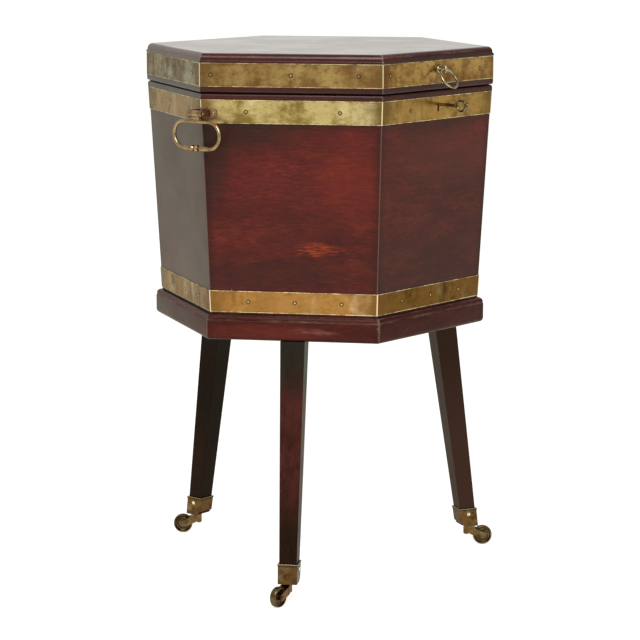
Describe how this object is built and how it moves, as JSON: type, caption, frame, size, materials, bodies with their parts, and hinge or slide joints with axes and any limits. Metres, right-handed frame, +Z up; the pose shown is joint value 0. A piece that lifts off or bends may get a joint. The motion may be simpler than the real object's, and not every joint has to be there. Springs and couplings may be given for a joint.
{
  "type": "antique cellarette",
  "caption": "Brass-bound hexagonal mahogany wine chest with a hinged lid, drop handles, lock and key, bottle divider, splayed square legs and brass casters.",
  "frame": {"origin": "on the floor under the middle of the hexagonal case, where the casters stand", "axes": "+Z up; -Y out of the lock face, at the front; the hinges are at the back, +Y; +X to the right of a viewer who faces the lock"},
  "size_m": [0.4902, 0.4994, 0.707],
  "materials": {
    "mahogany_case": "french polished, figured red-brown",
    "mahogany_moulding": "polished, worn paler on the edges",
    "mahogany_lid": "glossy polish",
    "mahogany_base": "polished, worn grey-brown on the corners",
    "mahogany_leg": "very dark stained polish",
    "secondary_wood": "plain, unpolished",
    "band_brass": "aged, blotchy brown patina",
    "handle_brass": "aged, worn bright on the high spots",
    "caster_brass": "dark aged, green in the recesses",
    "axle_steel": "dull",
    "hinge_brass": "satin",
    "lock_steel": "dark, slightly rusted",
    "liner_lead": "dull grey sheet"
  },
  "bodies": {
    "case": {"base_board": "mahogany_base", "base_moulding": "mahogany_moulding", "bottom_board": "secondary_wood", "case_band_pins": "band_brass", "case_rim": "mahogany_moulding", "caster_cup_back": "caster_brass", "caster_cup_front_left": "caster_brass", "caster_cup_front_right": "caster_brass", "caster_screws": "caster_brass", "divider_hub": "secondary_wood", "divider_slats": "secondary_wood", "handle_bracket_left": "handle_brass", "handle_bracket_right": "handle_brass", "handle_pins": "handle_brass", "handle_screws": "handle_brass", "hinge_case_leaves": "hinge_brass", "hinge_case_screws": "hinge_brass", "hinge_pins": "hinge_brass", "leg_back": "mahogany_leg", "leg_front_left": "mahogany_leg", "leg_front_right": "mahogany_leg", "liner": "liner_lead", "lock_case": "hinge_brass", "lock_cover": "hinge_brass", "lock_screws": "hinge_brass", "lower_band": "band_brass", "side_panel_back": "mahogany_case", "side_panel_back_left": "mahogany_case", "side_panel_back_right": "mahogany_case", "side_panel_front": "mahogany_case", "side_panel_front_left": "mahogany_case", "side_panel_front_right": "mahogany_case", "upper_band": "band_brass"},
    "lid": {"lid_board": "mahogany_lid", "lid_rails": "mahogany_lid", "lid_rim": "mahogany_moulding", "lid_band": "band_brass", "lid_band_pins": "band_brass", "ring_eye": "handle_brass", "hinge_lid_leaves": "hinge_brass", "hinge_lid_screws": "hinge_brass", "link_plate": "hinge_brass", "link_screws": "hinge_brass"},
    "ring": {"ring_pull": "handle_brass"},
    "left_bail": {"bail_left": "handle_brass"},
    "right_bail": {"bail_right": "handle_brass"},
    "key": {"key": "lock_steel"},
    "bolt": {"lock_bolt": "lock_steel"},
    "front_left_fork": {"caster_fork_front_left": "caster_brass", "caster_axle_front_left": "axle_steel"},
    "front_left_wheel": {"caster_wheel_front_left": "caster_brass"},
    "front_right_fork": {"caster_fork_front_right": "caster_brass", "caster_axle_front_right": "axle_steel"},
    "front_right_wheel": {"caster_wheel_front_right": "caster_brass"},
    "back_fork": {"caster_fork_back": "caster_brass", "caster_axle_back": "axle_steel"},
    "back_wheel": {"caster_wheel_back": "caster_brass"}
  },
  "joints": [
    {"name": "lid_hinge", "type": "hinge", "parent": "case", "child": "lid", "pos_m": [0, 0.20655, 0.65675], "axis": [-1, 0, 0], "range_deg": [0, 105]},
    {"name": "ring_swing", "type": "hinge", "parent": "lid", "child": "ring", "pos_m": [0, -0.21055, 0.6835], "axis": [-1, 0, 0], "range_deg": [-45, 150]},
    {"name": "right_bail_swing", "type": "hinge", "parent": "case", "child": "right_bail", "pos_m": [0.24046, 0, 0.631], "axis": [0, -1, 0], "range_deg": [-8, 178]},
    {"name": "left_bail_swing", "type": "hinge", "parent": "case", "child": "left_bail", "pos_m": [-0.24046, 0, 0.631], "axis": [0, 1, 0], "range_deg": [-8, 178]},
    {"name": "key_turn", "type": "hinge", "parent": "case", "child": "key", "pos_m": [0, -0.19177, 0.638], "axis": [0, 1, 0], "range_deg": [0, 180]},
    {"name": "bolt_slide", "type": "slide", "parent": "case", "child": "bolt", "axis": [1, 0, 0], "range_m": [0, 0.0065]},
    {"name": "front_left_swivel", "type": "hinge", "parent": "case", "child": "front_left_fork", "pos_m": [-0.19321, -0.11155, 0.028], "axis": [0, 0, 1], "continuous": true},
    {"name": "front_left_roll", "type": "hinge", "parent": "front_left_fork", "child": "front_left_wheel", "pos_m": [-0.21568, -0.11273, 0.0135], "axis": [-0.0523, 0.9986, 0], "continuous": true},
    {"name": "front_right_swivel", "type": "hinge", "parent": "case", "child": "front_right_fork", "pos_m": [0.19321, -0.11155, 0.028], "axis": [0, 0, 1], "continuous": true},
    {"name": "front_right_roll", "type": "hinge", "parent": "front_right_fork", "child": "front_right_wheel", "pos_m": [0.20767, -0.12878, 0.0135], "axis": [-0.766, -0.6428, 0], "continuous": true},
    {"name": "back_swivel", "type": "hinge", "parent": "case", "child": "back_fork", "pos_m": [0, 0.2231, 0.028], "axis": [0, 0, 1], "continuous": true},
    {"name": "back_roll", "type": "hinge", "parent": "back_fork", "child": "back_wheel", "pos_m": [-0.01446, 0.24033, 0.0135], "axis": [0.766, 0.6428, 0], "continuous": true}
  ],
  "couplings": [
    {"joint": "bolt_slide", "follows": "key_turn", "m_per_rad": 0.002069}
  ]
}
